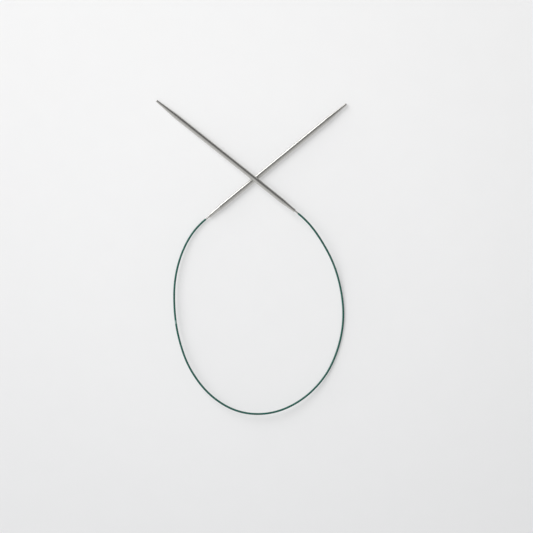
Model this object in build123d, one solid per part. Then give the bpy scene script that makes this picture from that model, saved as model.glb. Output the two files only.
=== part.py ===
from build123d import *
import math
import os

# A fixed circular knitting needle, lying on a flat surface at z = 0. Two steel tips cross near
# their cord ends, and a springy coated wire cord joins them in one open loop. Each join swivels:
# a headed ferrule, crimped on the cord's wire core, turns in a bore in the shaft's end, where a
# pressed-in collar holds it.
# Millimetres and degrees. The origin is the bottom centre of the two tips' box, +Z is up, and
# +X runs from the left tip's point to the right tip's point.

# A tip, measured along its axis from the face where the cord's jacket starts
tip_length = 126.0
shaft_diameter = 3.5
point_diameter = 1.5
point_taper = 17.5
point_blend_radius = 40.0
point_nose_radius = 0.7
edge_chamfer = 0.08

# The swivel join at the cord end of a tip
neck_shown = 3.0
neck_diameter = 1.3
collar_length = 10.0
collar_end_diameter = 2.3
collar_middle_diameter = 2.68
spigot_length = 4.0
spigot_diameter = 2.4
swivel_clearance = 0.05
head_diameter = 2.2
head_length = 2.5
head_end_play = 0.15
head_chamfer = 0.15
drill_half_angle = 59.0

# The cord
cord_diameter = 1.4
core_diameter = 0.8
core_clearance = 0.01
core_crimped_length = 12.0
bend_share = 0.45

# The cord's route, from the left tip's join round to the right tip's join. Each tip carries on
# in line from the route's end, so the end runs also set how the tips lie: the right one flat,
# and the left one across it, with its point down.
cord_route = [
    (32.27, -37.19, 8.05),
    (37.965, -41.734, 8.472),
    (47.1, -53.4, 7.2),
    (57.2, -71.5, 3.7),
    (62.8, -92.0, 1.2),
    (64.1, -112.0, 0.75),
    (60.0, -132.0, 0.75),
    (51.2, -150.7, 1.6),
    (35.4, -166.6, 3.4),
    (14.6, -176.1, 5.4),
    (-8.5, -175.5, 6.4),
    (-28.5, -164.0, 6.2),
    (-43.2, -144.9, 5.4),
    (-50.6, -123.9, 4.8),
    (-53.6, -104.0, 4.4),
    (-53.4, -82.6, 3.8),
    (-48.2, -63.0, 2.8),
    (-38.95, -47.02, 1.75),
    (-31.6, -41.0, 1.75),
]

# Stations along a tip's axis that several pieces share
collar_end = neck_shown
shaft_end = collar_end + collar_length
spigot_end = shaft_end + spigot_length
head_start = spigot_end + head_end_play
head_end = head_start + head_length
chamber_end = head_end + head_end_play


def turned(outline):
    """A solid turned about +Z from a closed outline of (radius, station) lines and arcs."""
    return revolve(Plane.XZ * make_face(outline), Axis.Z)


def drilled(diameter, start, end):
    """A round hole's cutter along +Z between two stations."""
    return Pos(0, 0, start) * Cylinder(
        diameter / 2, end - start, align=(Align.CENTER, Align.CENTER, Align.MIN)
    )


def make_shaft():
    """The needle shaft: a ground rod, long tapered point, and the swivel's bore in its end."""
    radius = shaft_diameter / 2
    taper_start = tip_length - point_taper
    outline = Polyline(
        (0, shaft_end),
        (radius - edge_chamfer, shaft_end),
        (radius, shaft_end + edge_chamfer),
        (radius, taper_start),
        (point_diameter / 2, tip_length),
        (0, tip_length),
        close=True,
    )
    profile = make_face(outline)
    shoulder = profile.vertices().sort_by_distance((radius, taper_start))[0]
    profile = fillet(shoulder, point_blend_radius)
    nose = profile.vertices().sort_by_distance((point_diameter / 2, tip_length))[0]
    profile = fillet(nose, point_nose_radius)
    rod = revolve(Plane.XZ * profile, Axis.Z)
    rod -= drilled(spigot_diameter, shaft_end, chamber_end)
    drill_depth = spigot_diameter / 2 / math.tan(math.radians(drill_half_angle))
    drill_tip = Pos(0, 0, chamber_end) * Cone(
        spigot_diameter / 2,
        0,
        drill_depth,
        align=(Align.CENTER, Align.CENTER, Align.MIN),
    )
    return rod - drill_tip


def make_collar():
    """The join collar: a hollow flare that carries the shaft down to the cord, with a spigot."""
    shoulder_radius = shaft_diameter / 2
    spigot_radius = spigot_diameter / 2
    flare_end = (shoulder_radius, shaft_end - edge_chamfer)
    flare_middle = (collar_middle_diameter / 2, collar_end + collar_length / 2)
    flare_start = (collar_end_diameter / 2, collar_end)
    outline = ThreePointArc(flare_start, flare_middle, flare_end) + Polyline(
        flare_end,
        (shoulder_radius - edge_chamfer, shaft_end),
        (spigot_radius, shaft_end),
        (spigot_radius, spigot_end),
        (0, spigot_end),
        (0, collar_end),
        flare_start,
    )
    hole = neck_diameter + 2 * swivel_clearance
    return turned(outline) - drilled(hole, collar_end, spigot_end)


def make_ferrule():
    """The swivel ferrule: a thin neck crimped on the wire core, with a head inside the shaft."""
    neck = drilled(neck_diameter, 0, head_end)
    head = drilled(head_diameter, head_start, head_end)
    head = chamfer(head.edges().filter_by(GeomType.CIRCLE), head_chamfer)
    socket = core_diameter + 2 * core_clearance
    return neck + head - drilled(socket, 0, core_crimped_length)


def make_cord_path():
    """The cord's centre line: straight runs joined by arcs as large as the runs allow."""
    points = [Vector(*point) for point in cord_route]
    runs = [end - start for start, end in zip(points, points[1:])]
    radii = []
    for before, after in zip(runs, runs[1:]):
        half_turn = math.radians(before.get_angle(after)) / 2
        shorter = min(before.length, after.length)
        radii.append(bend_share * shorter / math.tan(half_turn))
    return FilletPolyline(*points, radius=radii), radii


def swept(diameter, path):
    """A round rod along the cord's centre line."""
    start = Plane(origin=path @ 0, z_dir=path % 0)
    return sweep(start * Circle(diameter / 2), path=path)


def make_cord_jacket(path):
    """The nylon jacket: a plain tube over the wire core, from one ferrule to the other."""
    bore = core_diameter + 2 * core_clearance
    return swept(cord_diameter, path) - swept(bore, path)


def make_cord_core(path, tip_planes):
    """The wire rope, as a plain rod, with an end crimped inside each ferrule."""
    core = swept(core_diameter, path)
    for plane in tip_planes:
        core += plane * drilled(core_diameter, 0, core_crimped_length)
    return core


cord_path, cord_radii = make_cord_path()
left_plane = Plane(origin=cord_path @ 0, z_dir=-(cord_path % 0))
right_plane = Plane(origin=cord_path @ 1, z_dir=cord_path % 1)

pieces = {
    "cord_jacket": make_cord_jacket(cord_path),
    "cord_core": make_cord_core(cord_path, (left_plane, right_plane)),
}
for side, plane in (("left", left_plane), ("right", right_plane)):
    pieces[f"{side}_ferrule"] = plane * make_ferrule()
    pieces[f"{side}_collar"] = plane * make_collar()
    pieces[f"{side}_shaft"] = plane * make_shaft()

os.makedirs("parts", exist_ok=True)
for name, piece in pieces.items():
    export_step(piece, f"parts/{name}.step")

# What the numbers come to
print("cord arc radii:", [round(radius, 1) for radius in cord_radii])
print("cord length:", round(cord_path.length, 2))
jacket_section = math.pi * (cord_diameter**2 - (core_diameter + 2 * core_clearance) ** 2) / 4
core_section = math.pi * core_diameter**2 / 4
core_length = cord_path.length + 2 * core_crimped_length
print("jacket volume:", round(pieces["cord_jacket"].volume, 3))
print("jacket section x length:", round(jacket_section * cord_path.length, 3))
print("core volume:", round(pieces["cord_core"].volume, 3))
print("core section x length:", round(core_section * core_length, 3))
shaft_gap = pieces["left_shaft"].distance_to(pieces["right_shaft"])
print("gap between the shafts at the crossing:", round(shaft_gap, 3))
for side in ("left", "right"):
    print(f"{side} shaft's lowest point:", round(pieces[f"{side}_shaft"].bounding_box().min.Z, 4))
print("left tip's axis:", [round(value, 6) for value in left_plane.z_dir])
print("right tip's axis:", [round(value, 6) for value in right_plane.z_dir])
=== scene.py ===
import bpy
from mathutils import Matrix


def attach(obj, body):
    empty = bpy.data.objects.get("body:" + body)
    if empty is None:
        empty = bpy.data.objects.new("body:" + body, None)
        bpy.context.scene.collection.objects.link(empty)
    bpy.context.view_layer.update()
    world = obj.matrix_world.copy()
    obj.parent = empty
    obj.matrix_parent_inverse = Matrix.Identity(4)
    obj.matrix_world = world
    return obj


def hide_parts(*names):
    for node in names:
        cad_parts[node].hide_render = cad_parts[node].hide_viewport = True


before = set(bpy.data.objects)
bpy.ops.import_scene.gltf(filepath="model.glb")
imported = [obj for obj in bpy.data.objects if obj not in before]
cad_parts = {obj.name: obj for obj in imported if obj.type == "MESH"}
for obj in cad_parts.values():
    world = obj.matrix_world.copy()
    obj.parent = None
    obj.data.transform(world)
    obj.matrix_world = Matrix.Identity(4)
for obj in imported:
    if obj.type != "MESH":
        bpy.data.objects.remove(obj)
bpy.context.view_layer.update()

import math

import bpy
import numpy as np
from mathutils import Vector

# ---- How the needle is seen -------------------------------------------------------------------
# The needle lies on a table and is looked at from straight above, with its two points away from
# the viewer and the cord's loop near. A long lens from well up keeps it in true proportion.
view_middle = (0.0104, -0.0738)
view_width = 0.3694
eye_height = 3.0
film_width = 36.0

camera_data = bpy.data.cameras.new("camera")
camera_data.sensor_width = film_width
camera_data.lens = film_width * eye_height / view_width
camera = bpy.data.objects.new("camera", camera_data)
camera.location = (*view_middle, eye_height)
bpy.context.scene.collection.objects.link(camera)
bpy.context.scene.camera = camera

# ---- The cord's jacket ------------------------------------------------------------------------
# A dark green nylon tube, drawn on over a stranded wire rope, so that the strands show through as
# a faint spiral ripple. It runs from join to join in one springy open loop, which touches the
# table only at its right, and a short pale mark is coloured on top of it at its left. The mark's
# length is in millimetres along the cord, and its turn and width are shares of the way round.
cord_diameter = 0.0014
jacket_bore = 0.00082
jacket_edge = 0.00015
ripple_height = 0.000007
rope_lay = 0.0065
strands_round = 6
ring_spacing = 0.0004
jacket_sides = 28
mark_place = (-0.0527, -0.1123)
mark_length = 2.4
mark_turn = 0.28
mark_width = 0.4
nylon_shades = (0.008, 0.070, 0.053), (0.020, 0.107, 0.085)
mark_colour = (0.22, 0.34, 0.31)
cord_route = [
    (0.03227, -0.03719, 0.00805),
    (0.037965, -0.041734, 0.008472),
    (0.0471, -0.0534, 0.0072),
    (0.0572, -0.0715, 0.0037),
    (0.0628, -0.092, 0.0012),
    (0.0641, -0.112, 0.00075),
    (0.06, -0.132, 0.00075),
    (0.0512, -0.1507, 0.0016),
    (0.0354, -0.1666, 0.0034),
    (0.0146, -0.1761, 0.0054),
    (-0.0085, -0.1755, 0.0064),
    (-0.0285, -0.164, 0.0062),
    (-0.0432, -0.1449, 0.0054),
    (-0.0506, -0.1239, 0.0048),
    (-0.0536, -0.104, 0.0044),
    (-0.0534, -0.0826, 0.0038),
    (-0.0482, -0.063, 0.0028),
    (-0.03895, -0.04702, 0.00175),
    (-0.0316, -0.041, 0.00175),
]


def smooth_line(route, spacing):
    """The cord's centre line, as points at even steps along a smooth spline.

    The spline has the route's points as its control points. The points that it draws are read
    back, their distances along it added up, and new points read off at even steps of distance.
    """
    curve = bpy.data.curves.new("cord_line", "CURVE")
    curve.dimensions = "3D"
    curve.resolution_u = 40
    spline = curve.splines.new("NURBS")
    spline.points.add(len(route) - 1)
    for point, place in zip(spline.points, route):
        point.co = (*place, 1)
    spline.order_u = 3
    spline.use_endpoint_u = True
    guide = bpy.data.objects.new("cord_line", curve)
    mesh = bpy.data.meshes.new_from_object(guide)
    drawn = np.empty(len(mesh.vertices) * 3)
    mesh.vertices.foreach_get("co", drawn)
    drawn = drawn.reshape(-1, 3)
    bpy.data.meshes.remove(mesh)
    bpy.data.objects.remove(guide)
    bpy.data.curves.remove(curve)
    along = np.r_[0, np.cumsum(np.linalg.norm(np.diff(drawn, axis=0), axis=1))]
    steps = np.linspace(0, along[-1], round(along[-1] / spacing) + 1)
    return steps, np.stack([np.interp(steps, along, row) for row in drawn.T], axis=1)


def directions(tangents):
    """The side and lift directions square to each tangent: the side is the tangent crossed with
    straight up, made one long, and the lift is the side crossed with the tangent."""
    sides = np.cross(tangents, (0.0, 0.0, 1.0))
    sides /= np.linalg.norm(sides, axis=-1, keepdims=True)
    return sides, np.cross(sides, tangents)


def rings_round(centres, tangents, radii, around):
    """Rings of points square to a line: centre, plus radius times (cosine of the angle times the
    side direction, plus sine of the angle times the lift direction). A radius is given for each
    ring, or for each point of each ring."""
    sides, lifts = directions(tangents)
    angle = np.linspace(0, 2 * np.pi, around, endpoint=False)[:, None]
    spokes = np.cos(angle) * sides[:, None] + np.sin(angle) * lifts[:, None]
    return centres[:, None] + radii.reshape(len(centres), -1, 1) * spokes


def skin(name, tubes, body, material, poles=None):
    """A closed piece skinned over tubes, each a row of rings of points, smooth and with a UV map.

    Each point is joined to the next in its ring and to the same one in the next ring. With no
    poles a tube's last ring is joined to its first; with two pole points a tube, its ends close
    in fans. The UV map is the share of a turn, and the run from ring to ring in millimetres.
    """
    count, around = tubes.shape[1:3]
    middles = tubes.mean(axis=2)
    reach = np.linalg.norm(tubes - middles[:, :, None], axis=3).mean(axis=2)
    drift = np.linalg.norm(middles - np.roll(middles, -1, axis=1), axis=2)
    run = 1000 * np.cumsum(np.hypot(drift, reach - np.roll(reach, -1, axis=1)), axis=1)
    run = np.concatenate([np.zeros((len(tubes), 1)), run], axis=1)
    ends = 0 if poles is None else 2
    size = count * around + ends
    tube, ring, point = np.ogrid[: len(tubes), : count - ends // 2, :around]
    here, after = tube * size + ring * around, tube * size + (ring + 1) % count * around
    beside = (point + 1) % around
    quads = np.stack([here + point, after + point, after + beside, here + beside], axis=-1)
    share = np.broadcast_to(np.stack([point, point, point + 1, point + 1], axis=-1), quads.shape)
    now, then = run[tube, ring], run[tube, ring + 1]
    height = np.broadcast_to(np.stack([now, then, then, now], axis=-1), quads.shape)
    faces = quads.reshape(-1, 4).tolist()
    uv = [np.stack([share / around, height], axis=-1).reshape(-1, 2)]
    vertices = tubes.reshape(len(tubes), -1, 3)
    if poles is not None:
        vertices = np.concatenate([vertices, poles], axis=1)
        tube, point = np.ogrid[: len(tubes), :around]
        beside = (point + 1) % around
        for last, turn in ((0, (2, 1, 0)), (1, (0, 1, 2))):
            rim = tube * size + last * (count - 1) * around
            pole = np.broadcast_to(tube * size + count * around + last, (len(tubes), around))
            corners = np.stack([rim + point, pole, rim + beside], axis=-1)[..., list(turn)]
            share = np.stack([point, point + 0.5, point + 1], axis=-1)
            share = np.broadcast_to(share, corners.shape)
            height = np.broadcast_to(run[:, [last * (count - 1)], None], corners.shape)
            faces += corners.reshape(-1, 3).tolist()
            uv.append(np.stack([share[..., list(turn)] / around, height], axis=-1).reshape(-1, 2))
    mesh = bpy.data.meshes.new(name)
    mesh.from_pydata(vertices.reshape(-1, 3).tolist(), [], faces)
    layer = mesh.uv_layers.new(name="UVMap")
    layer.data.foreach_set("uv", np.concatenate(uv).astype(np.float32).ravel())
    mesh.shade_smooth()
    mesh.set_sharp_from_angle(angle=math.radians(30))
    mesh.materials.append(material)
    piece = bpy.data.objects.new(name, mesh)
    bpy.context.scene.collection.objects.link(piece)
    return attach(piece, body)


def new_material(name):
    """A material with nodes, its node list, its link list and its shader."""
    material = bpy.data.materials.new(name)
    material.use_nodes = True
    nodes, links = material.node_tree.nodes, material.node_tree.links
    return material, nodes, links, nodes["Principled BSDF"]


def grain(nodes, links, scale, source="UV"):
    """Cloudy noise on the piece's own UV map, or on its Object coordinates, stretched by scale."""
    place = nodes.new("ShaderNodeTexCoord")
    stretch = nodes.new("ShaderNodeMapping")
    stretch.inputs["Scale"].default_value = scale
    links.new(place.outputs[source], stretch.inputs["Vector"])
    cloud = nodes.new("ShaderNodeTexNoise")
    cloud.inputs["Scale"].default_value = 1.0
    cloud.inputs["Detail"].default_value = 4.0
    links.new(stretch.outputs["Vector"], cloud.inputs["Vector"])
    return cloud.outputs["Fac"]


def shades(nodes, links, amount, low, high, start=0.3, end=0.7):
    """A blend from the low colour to the high one as the amount goes from start to end."""
    ramp = nodes.new("ShaderNodeValToRGB")
    ramp.color_ramp.elements[0].position = start
    ramp.color_ramp.elements[0].color = (*low, 1)
    ramp.color_ramp.elements[1].position = end
    ramp.color_ramp.elements[1].color = (*high, 1)
    links.new(amount, ramp.inputs["Fac"])
    return ramp.outputs["Color"]


def ranged(nodes, links, amount, low, high):
    """The amount, from 0.3 to 0.7, carried over to the range from low to high."""
    scale = nodes.new("ShaderNodeMapRange")
    scale.inputs["From Min"].default_value = 0.3
    scale.inputs["From Max"].default_value = 0.7
    scale.inputs["To Min"].default_value = low
    scale.inputs["To Max"].default_value = high
    links.new(amount, scale.inputs["Value"])
    return scale.outputs["Result"]


def relief(nodes, links, shader, amount, depth):
    """Fine marks pressed into the surface, as deep in metres as depth says."""
    bump = nodes.new("ShaderNodeBump")
    bump.inputs["Strength"].default_value = 1.0
    bump.inputs["Distance"].default_value = depth
    links.new(amount, bump.inputs["Height"])
    links.new(bump.outputs["Normal"], shader.inputs["Normal"])


def pale_mark_mask(nodes, links, middle):
    """Up to 1 on the top of the cord within half the mark's length of the middle, less where a
    fine noise breaks it up, and 0 elsewhere."""
    place = nodes.new("ShaderNodeTexCoord")
    parts = nodes.new("ShaderNodeSeparateXYZ")
    links.new(place.outputs["UV"], parts.inputs["Vector"])
    masks = []
    for axis, centre, width in (("X", mark_turn, mark_width), ("Y", middle, mark_length)):
        band = nodes.new("ShaderNodeMath")
        band.operation = "COMPARE"
        band.inputs[1].default_value = centre
        band.inputs[2].default_value = width / 2
        links.new(parts.outputs[axis], band.inputs[0])
        masks.append(band.outputs["Value"])
    both = nodes.new("ShaderNodeMath")
    both.operation = "MULTIPLY"
    links.new(masks[0], both.inputs[0])
    links.new(masks[1], both.inputs[1])
    mark_share = nodes.new("ShaderNodeMath")
    mark_share.operation = "MULTIPLY"
    links.new(both.outputs["Value"], mark_share.inputs[0])
    mark_noise = grain(nodes, links, (40.0, 5.0, 1.0))
    links.new(ranged(nodes, links, mark_noise, 0.35, 1.0), mark_share.inputs[1])
    return mark_share.outputs["Value"]


def green_nylon(mark_middle):
    """Dark green nylon: glossy, with a cloudy unevenness drawn out along the cord."""
    material, nodes, links, shader = new_material("green_nylon")
    cloud = grain(nodes, links, (3.0, 0.3, 1.0))
    green = shades(nodes, links, cloud, *nylon_shades)
    # A short pale patch mixed into the green at the mark's place.
    pale_mark_on = nodes.new("ShaderNodeMix")
    pale_mark_on.data_type = "RGBA"
    pale_mark_on.inputs["B"].default_value = (*mark_colour, 1)
    links.new(pale_mark_mask(nodes, links, mark_middle), pale_mark_on.inputs["Factor"])
    links.new(green, pale_mark_on.inputs["A"])
    links.new(pale_mark_on.outputs["Result"], shader.inputs["Base Color"])
    fine = grain(nodes, links, (30.0, 2.5, 1.0))
    links.new(ranged(nodes, links, fine, 0.28, 0.44), shader.inputs["Roughness"])
    relief(nodes, links, shader, fine, 0.000004)
    shader.inputs["Specular IOR Level"].default_value = 0.36
    shader.inputs["Coat Weight"].default_value = 0.12
    shader.inputs["Coat Roughness"].default_value = 0.2
    return material


along, centres = smooth_line(cord_route, ring_spacing)
tangents = np.gradient(centres, axis=0)
tangents /= np.linalg.norm(tangents, axis=1)[:, None]
angles = np.linspace(0, 2 * np.pi, jacket_sides, endpoint=False)
ripple = ripple_height * np.cos(strands_round * (angles + 2 * np.pi * along[:, None] / rope_lay))
from_end = np.minimum(along, along[-1] - along)
drawn_in = jacket_edge * (1 - np.sqrt(1 - np.clip(1 - from_end / jacket_edge, 0, 1) ** 2))
outer_radii = cord_diameter / 2 - drawn_in[:, None] + ripple
outer = rings_round(centres, tangents, outer_radii, jacket_sides)
inner = rings_round(centres, tangents, np.full(len(along), jacket_bore / 2), jacket_sides)
nearest = np.argmin(np.hypot(*(centres[:, :2] - mark_place).T))
jacket_wall = np.concatenate([outer, inner[::-1]])[None]
jacket = skin("green_jacket", jacket_wall, "cord", green_nylon(1000 * along[nearest]))
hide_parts("cord_jacket")

# ---- The cord's wire rope ---------------------------------------------------------------------
# A springy stainless rope of one straight strand with six laid round it, which gives the cord its
# stiffness. It fills the jacket, and runs on straight into each ferrule, where it is crimped.
rope_diameter = 0.0008
rope_crimped = 0.012
strand_sides = 7
rope_shades = (0.34, 0.34, 0.35), (0.58, 0.58, 0.59)


def rope_steel():
    """Drawn stainless wire: bright, with fine marks along it that vary its tone and roughness."""
    material, nodes, links, shader = new_material("rope_steel")
    drawn = grain(nodes, links, (6.0, 0.4, 1.0))
    steel = shades(nodes, links, drawn, *rope_shades)
    links.new(steel, shader.inputs["Base Color"])
    links.new(ranged(nodes, links, drawn, 0.22, 0.42), shader.inputs["Roughness"])
    shader.inputs["Metallic"].default_value = 1.0
    return material


def laid_strands(line, headings, steps, strand_radius):
    """One straight strand, and six round it: strand k's centre lies two strand radii out, at the
    angle 2 pi (k / 6 + run / lay). Each strand is a tube of rings along its own centre line."""
    sides, lifts = directions(headings)
    turn = 2 * np.pi * (np.arange(strands_round)[:, None] / strands_round + steps / rope_lay)
    helix = np.cos(turn)[..., None] * sides + np.sin(turn)[..., None] * lifts
    paths = np.concatenate([line[None], line + 2 * strand_radius * helix])
    slopes = np.gradient(paths, axis=1)
    slopes /= np.linalg.norm(slopes, axis=2, keepdims=True)
    radii = np.full(len(line), strand_radius)
    tubes = np.stack([rings_round(*pair, radii, strand_sides) for pair in zip(paths, slopes)])
    return tubes, paths[:, [0, -1]]


lead = ring_spacing * np.arange(round(rope_crimped / ring_spacing), 0, -1)[:, None]
line = np.concatenate(
    [centres[0] - lead * tangents[0], centres, centres[-1] + lead[::-1] * tangents[-1]]
)
headings = np.concatenate(
    [np.tile(tangents[0], (len(lead), 1)), tangents, np.tile(tangents[-1], (len(lead), 1))]
)
steps = np.r_[-lead[:, 0], along, along[-1] + lead[::-1, 0]]
strands, strand_ends = laid_strands(line, headings, steps, rope_diameter / 6)
rope = skin("wire_rope", strands, "cord", rope_steel(), strand_ends)
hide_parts("cord_core")

# ---- The swivel ferrules ----------------------------------------------------------------------
# A thin stainless sleeve at each end of the cord, crimped on the wire rope, with a turned head
# that is caught inside the needle. Only its first 3 mm show, with three fine crimp rings.
neck_shown = 0.003
neck_radius = 0.00065
head_radius = 0.0011
head_start = 0.01715
head_end = 0.01965
head_chamfer = 0.00015
socket_radius = 0.00041
socket_depth = 0.012
crimp_start = 0.0004
crimp_margin = 0.00005
crimp_depth = 0.00002
crimp_pitch = 0.0005
crimp_rings = 3
crimp_points = 16
edge_radius = 0.00003
turned_sides = 96
places = np.array(cord_route)
tips = {}
for side, start, inward in (("left", places[0], places[1]), ("right", places[-1], places[-2])):
    tips[side] = (start, (start - inward) / np.linalg.norm(start - inward))


def rounded(corners, arc_points=5):
    """A profile of straight runs with its corners rounded, as (station, radius) points.

    Each corner is (station, radius, rounding). Its arc starts and ends at the rounding times the
    tangent of half the turn from the corner, and its points swing evenly about the arc's centre.
    """
    spots = np.array([corner[:2] for corner in corners])
    profile = [spots[:1]]
    for before, spot, after, corner in zip(spots, spots[1:], spots[2:], corners[1:]):
        back, on = before - spot, after - spot
        back, on = back / np.linalg.norm(back), on / np.linalg.norm(on)
        half_turn = math.acos(np.clip(-back @ on, -1, 1)) / 2
        middle = spot + (back + on) / np.linalg.norm(back + on) * corner[2] / math.cos(half_turn)
        reach = corner[2] * math.tan(half_turn)
        first, last = spot + reach * back - middle, spot + reach * on - middle
        share = np.linspace(0, 1, arc_points)[:, None]
        swing = np.sin((1 - share) * 2 * half_turn) * first + np.sin(share * 2 * half_turn) * last
        profile.append(middle + swing / math.sin(2 * half_turn))
    return np.concatenate(profile + [spots[-1:]])


def turned(name, side, profile, body, material, poles=None):
    """A turned piece: its profile's radii swept once round the tip's axis. With poles, the two
    stations on the axis where the piece closes, it is solid; without, it is a sleeve."""
    start, axis = tips[side]
    centres = start + profile[:, :1] * axis
    rings = rings_round(centres, np.tile(axis, (len(profile), 1)), profile[:, 1], turned_sides)
    if poles is not None:
        poles = (start + np.array(poles)[:, None] * axis)[None]
    return skin(name, rings[None], body, material, poles)


def turned_steel(name, dark, light, roughness, mark_pitch, mark_depth):
    """Stainless steel off a lathe: fine rings round it, faint streaks along it, slight tarnish.
    The marks' pitch is in millimetres and their depth in metres."""
    material, nodes, links, shader = new_material(name)
    rings = grain(nodes, links, (1.5, 1 / mark_pitch, 1.0))
    streaks = grain(nodes, links, (26.0, 0.12, 1.0))
    marks = nodes.new("ShaderNodeMix")
    marks.data_type = "FLOAT"
    marks.inputs["Factor"].default_value = 0.5
    links.new(rings, marks.inputs["A"])
    links.new(streaks, marks.inputs["B"])
    marked = marks.outputs["Result"]
    links.new(shades(nodes, links, marked, dark, light), shader.inputs["Base Color"])
    links.new(ranged(nodes, links, marked, *roughness), shader.inputs["Roughness"])
    relief(nodes, links, shader, rings, mark_depth)
    shader.inputs["Metallic"].default_value = 1.0
    return material


crimp_run = np.linspace(0, crimp_rings * crimp_pitch, crimp_rings * crimp_points + 1)
crimp_dip = crimp_depth * np.sin(np.pi * crimp_run / crimp_pitch) ** 2
crimps = crimp_start + crimp_run
head_inner = head_radius - head_chamfer
ferrule_back = rounded(
    [
        (socket_depth, socket_radius, 0),
        (0, socket_radius, edge_radius),
        (0, neck_radius, edge_radius),
        (crimp_start - crimp_margin, neck_radius, 0),
    ]
)
ferrule_front = rounded(
    [
        (neck_shown, neck_radius, 0),
        (head_start, neck_radius, edge_radius),
        (head_start, head_inner, edge_radius),
        (head_start + head_chamfer, head_radius, edge_radius),
        (head_end - head_chamfer, head_radius, edge_radius),
        (head_end, head_inner, edge_radius),
        (head_end, head_inner / 2, 0),
    ]
)
ferrule_profile = np.concatenate(
    [ferrule_back, np.stack([crimps, neck_radius - crimp_dip], axis=1), ferrule_front]
)
bright_steel = turned_steel(
    "ferrule_steel",
    dark=(0.54, 0.535, 0.52),
    light=(0.70, 0.69, 0.67),
    roughness=(0.14, 0.26),
    mark_pitch=0.09,
    mark_depth=0.000002,
)
for side in tips:
    ferrule = turned(
        side + "_swivel_ferrule",
        side,
        ferrule_profile,
        "cord",
        bright_steel,
        (socket_depth, head_end),
    )
    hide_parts(side + "_ferrule")

# ---- The join collars -------------------------------------------------------------------------
# A turned stainless collar that flares from the cord up to the needle's full thickness, so that
# stitches slide over the join. Its spigot is pressed into the needle, and the ferrule turns in it.
shaft_radius = 0.00175
shaft_end = 0.013
spigot_end = 0.017
spigot_radius = 0.0012
collar_bore = 0.0007
collar_end_radius = 0.00115
collar_middle_radius = 0.00134
edge_chamfer = 0.00008
mouth_lip = 0.0001
flare_points = 40


def arc_through(first, middle, last, count):
    """Points along the circle through three points of a profile: its centre lies as far from each
    of the three, and the angle about it goes evenly from the first to the last."""
    first, middle, last = (np.array(point) for point in (first, middle, last))
    rows = 2 * np.stack([middle - first, last - first])
    centre = np.linalg.solve(rows, [middle @ middle - first @ first, last @ last - first @ first])
    from_angle, to_angle = (math.atan2(*(point - centre)[::-1]) for point in (first, last))
    sweep = (to_angle - from_angle + np.pi) % (2 * np.pi) - np.pi
    angle = from_angle + sweep * np.linspace(0, 1, count)
    radius = np.linalg.norm(first - centre)
    return centre + radius * np.stack([np.cos(angle), np.sin(angle)], axis=1)


flare = arc_through(
    (neck_shown, collar_end_radius),
    ((neck_shown + shaft_end) / 2, collar_middle_radius),
    (shaft_end - edge_chamfer, shaft_radius),
    flare_points,
)
collar_back = rounded(
    [
        (spigot_end, collar_bore + mouth_lip, 0),
        (spigot_end, collar_bore, edge_radius),
        (neck_shown, collar_bore, edge_radius),
        (neck_shown, collar_end_radius, edge_radius),
        tuple(flare[1]) + (0,),
    ]
)
collar_front = rounded(
    [
        tuple(flare[-2]) + (0,),
        (shaft_end - edge_chamfer, shaft_radius, edge_radius),
        (shaft_end, shaft_radius - edge_chamfer, edge_radius),
        (shaft_end, spigot_radius, edge_radius),
        (spigot_end, spigot_radius, edge_radius),
        (spigot_end, spigot_radius - mouth_lip, 0),
    ]
)
collar_profile = np.concatenate([collar_back, flare[2:-2], collar_front])
join_steel = turned_steel(
    "collar_steel",
    dark=(0.545, 0.537, 0.515),
    light=(0.665, 0.655, 0.632),
    roughness=(0.18, 0.28),
    mark_pitch=0.12,
    mark_depth=0.000003,
)
for side in tips:
    collar = turned(side + "_join_collar", side, collar_profile, side + "_tip", join_steel)
    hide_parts(side + "_collar")

# ---- The needle shafts ------------------------------------------------------------------------
# Two stainless rods, ground to size, tapered by hand to a blunt point and tumbled to a grey satin
# sheen. The cord end is bored out for the swivel's head and the collar's spigot.
tip_length = 0.126
point_taper = 0.0175
point_radius = 0.00075
point_blend = 0.040
point_nose = 0.0007
chamber_end = 0.0198
drill_half_angle = math.radians(59)
nose_flat = 0.00002

drill_tip = chamber_end + spigot_radius / math.tan(drill_half_angle)
shaft_profile = rounded(
    [
        (chamber_end, spigot_radius, 0),
        (shaft_end, spigot_radius, edge_radius),
        (shaft_end, shaft_radius - edge_chamfer, edge_radius),
        (shaft_end + edge_chamfer, shaft_radius, edge_radius),
        (tip_length - point_taper, shaft_radius, point_blend),
        (tip_length, point_radius, point_nose),
        (tip_length, nose_flat, 0),
    ],
    arc_points=16,
)
satin_steel = turned_steel(
    "needle_steel",
    dark=(0.530, 0.522, 0.500),
    light=(0.645, 0.636, 0.612),
    roughness=(0.2, 0.3),
    mark_pitch=0.16,
    mark_depth=0.000003,
)
for side in tips:
    shaft = turned(
        side + "_needle",
        side,
        shaft_profile,
        side + "_tip",
        satin_steel,
        (drill_tip, tip_length),
    )
    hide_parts(side + "_shaft")

# ---- The table and the light ------------------------------------------------------------------
# A plain pale table top, with painted shade in its colour that greys it towards the viewer and
# round its edges, and a faint painted glow of its own that softens its shadows. Soft daylight
# falls from the far left, the walls near the viewer are bright, and the ceiling is dim, dimmest
# beyond the needle's right.
table_half = 3.0
table_drop = 0.00002
# The table's glow is painted light, which softens the shadows on it.
painted_table_glow = 0.37
# The sheet and rim shades are painted shade: the sheet greys towards the viewer and round its
# edges.
sheet_painted_falloff_shades = (0.495, 0.495, 0.496), (0.415, 0.418, 0.424)
painted_falloff_run = -0.11, 0.26
painted_vignette_shades = (1, 1, 1), (0.93, 0.93, 0.93)
painted_vignette_run = 0.12, 0.27
fibre_shades = (0.985, 0.985, 0.985), (1, 1, 1)

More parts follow.
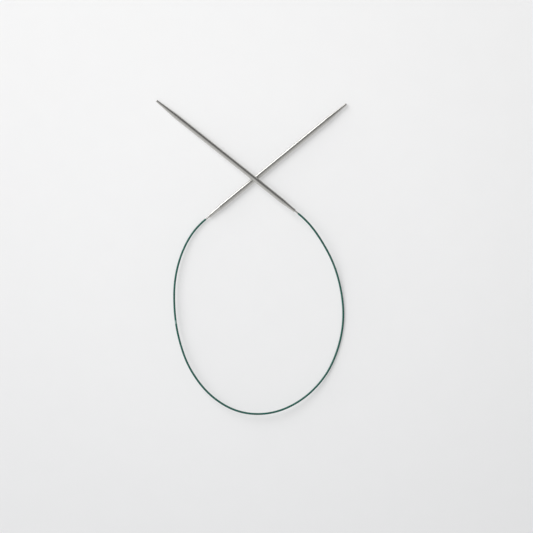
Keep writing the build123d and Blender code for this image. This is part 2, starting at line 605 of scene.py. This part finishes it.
table_mesh = bpy.data.meshes.new("table_top")
table_ends = ((-1, -1), (1, -1), (1, 1), (-1, 1))
table_corners = [(x * table_half, y * table_half, -table_drop) for x, y in table_ends]
table_mesh.from_pydata(table_corners, [], [(0, 1, 2, 3)])
table = bpy.data.objects.new("table_top", table_mesh)
bpy.context.scene.collection.objects.link(table)


def along_heading(nodes, links, source, heading, near, far):
    """How far a place or a direction lies along a heading, as 0 at near and 1 at far."""
    place = nodes.new("ShaderNodeTexCoord")
    reach = nodes.new("ShaderNodeVectorMath")
    reach.operation = "DOT_PRODUCT"
    reach.inputs[1].default_value = heading
    links.new(place.outputs[source], reach.inputs[0])
    share = nodes.new("ShaderNodeMapRange")
    share.inputs["From Min"].default_value = near
    share.inputs["From Max"].default_value = far
    links.new(reach.outputs["Value"], share.inputs["Value"])
    return share.outputs["Result"]


def tinted(nodes, links, colour, tint):
    """One colour darkened by another, multiplied into it."""
    stain = nodes.new("ShaderNodeMix")
    stain.data_type = "RGBA"
    stain.blend_type = "MULTIPLY"
    stain.inputs["Factor"].default_value = 1.0
    links.new(colour, stain.inputs["A"])
    links.new(tint, stain.inputs["B"])
    return stain.outputs["Result"]


def pale_table():
    """A pale matt sheet: painted glow, and painted shade greyer at the viewer and all round."""
    material, nodes, links, shader = new_material("pale_table")
    # Painted shade: the sheet greys towards the viewer, as the light on it falls off.
    towards_viewer = along_heading(nodes, links, "Object", (0.0, -1.0, 0.0), *painted_falloff_run)
    sheet = shades(nodes, links, towards_viewer, *sheet_painted_falloff_shades, 0, 1)
    # Painted shade: the sheet greys further out from the view's middle, all round.
    place = nodes.new("ShaderNodeTexCoord")
    outwards = nodes.new("ShaderNodeVectorMath")
    outwards.operation = "DISTANCE"
    outwards.inputs[1].default_value = (*view_middle, 0.0)
    links.new(place.outputs["Object"], outwards.inputs[0])
    rim = shades(nodes, links, outwards.outputs["Value"], *painted_vignette_shades, *painted_vignette_run)
    cloud = grain(nodes, links, (60.0, 60.0, 60.0), source="Object")
    fibres = shades(nodes, links, cloud, *fibre_shades)
    sheet = tinted(nodes, links, tinted(nodes, links, sheet, rim), fibres)
    links.new(sheet, shader.inputs["Base Color"])
    shader.inputs["Roughness"].default_value = 0.8
    shader.inputs["Specular IOR Level"].default_value = 0.1
    # Painted light: a faint glow from the sheet itself, which lightens the shadows on it.
    shader.inputs["Emission Color"].default_value = (1, 1, 1, 1)
    shader.inputs["Emission Strength"].default_value = painted_table_glow
    return material


table_mesh.materials.append(pale_table())

daylight_heading = Vector((-0.79, 0.61, 0)).normalized()
daylight_elevation = math.radians(42)
daylight_distance = 2.2
daylight_size = 1.6, 1.4
daylight_watts = 45.0

daylight_data = bpy.data.lights.new("daylight", "AREA")
daylight_data.shape = "RECTANGLE"
daylight_data.size, daylight_data.size_y = daylight_size
daylight_data.energy = daylight_watts
daylight = bpy.data.objects.new("daylight", daylight_data)
daylight_from = daylight_heading * math.cos(daylight_elevation)
daylight_from.z = math.sin(daylight_elevation)
daylight.location = Vector((*view_middle, 0)) + daylight_distance * daylight_from
daylight.rotation_euler = daylight_from.to_track_quat("Z", "Y").to_euler()
daylight.visible_glossy = False
bpy.context.scene.collection.objects.link(daylight)


def wall_tones(nodes, links, amount, stops):
    """Greys blended along the amount, from (place, level) stops."""
    tone = nodes.new("ShaderNodeValToRGB")
    while len(tone.color_ramp.elements) < len(stops):
        tone.color_ramp.elements.new(1.0)
    for element, (place, level) in zip(tone.color_ramp.elements, stops):
        element.position = place
        element.color = (level, level, level, 1)
    links.new(amount, tone.inputs["Fac"])
    return tone.outputs["Color"]


bright_side = Vector((-0.5, -0.6, -0.62)).normalized()
wall_levels = (0.0, 0.18), (0.19, 0.28), (0.33, 0.72), (0.55, 0.68), (1.0, 0.85)
window_side = (-0.75, 0.66, 0.0)
window_run = 0.86, 0.98
window_strength = 4.5

room = bpy.data.worlds.new("room")
room.use_nodes = True
bpy.context.scene.world = room
nodes, links = room.node_tree.nodes, room.node_tree.links
across_room = along_heading(nodes, links, "Generated", bright_side, -1, 1)
near_window = along_heading(nodes, links, "Generated", window_side, *window_run)
window = nodes.new("ShaderNodeVectorMath")
window.operation = "SCALE"
window.inputs["Scale"].default_value = window_strength
links.new(wall_tones(nodes, links, near_window, ((0.0, 0.0), (1.0, 1.0))), window.inputs[0])
light = nodes.new("ShaderNodeVectorMath")
light.operation = "ADD"
links.new(wall_tones(nodes, links, across_room, wall_levels), light.inputs[0])
links.new(window.outputs["Vector"], light.inputs[1])
links.new(light.outputs["Vector"], nodes["Background"].inputs["Color"])
bpy.context.scene.view_settings.view_transform = "Standard"
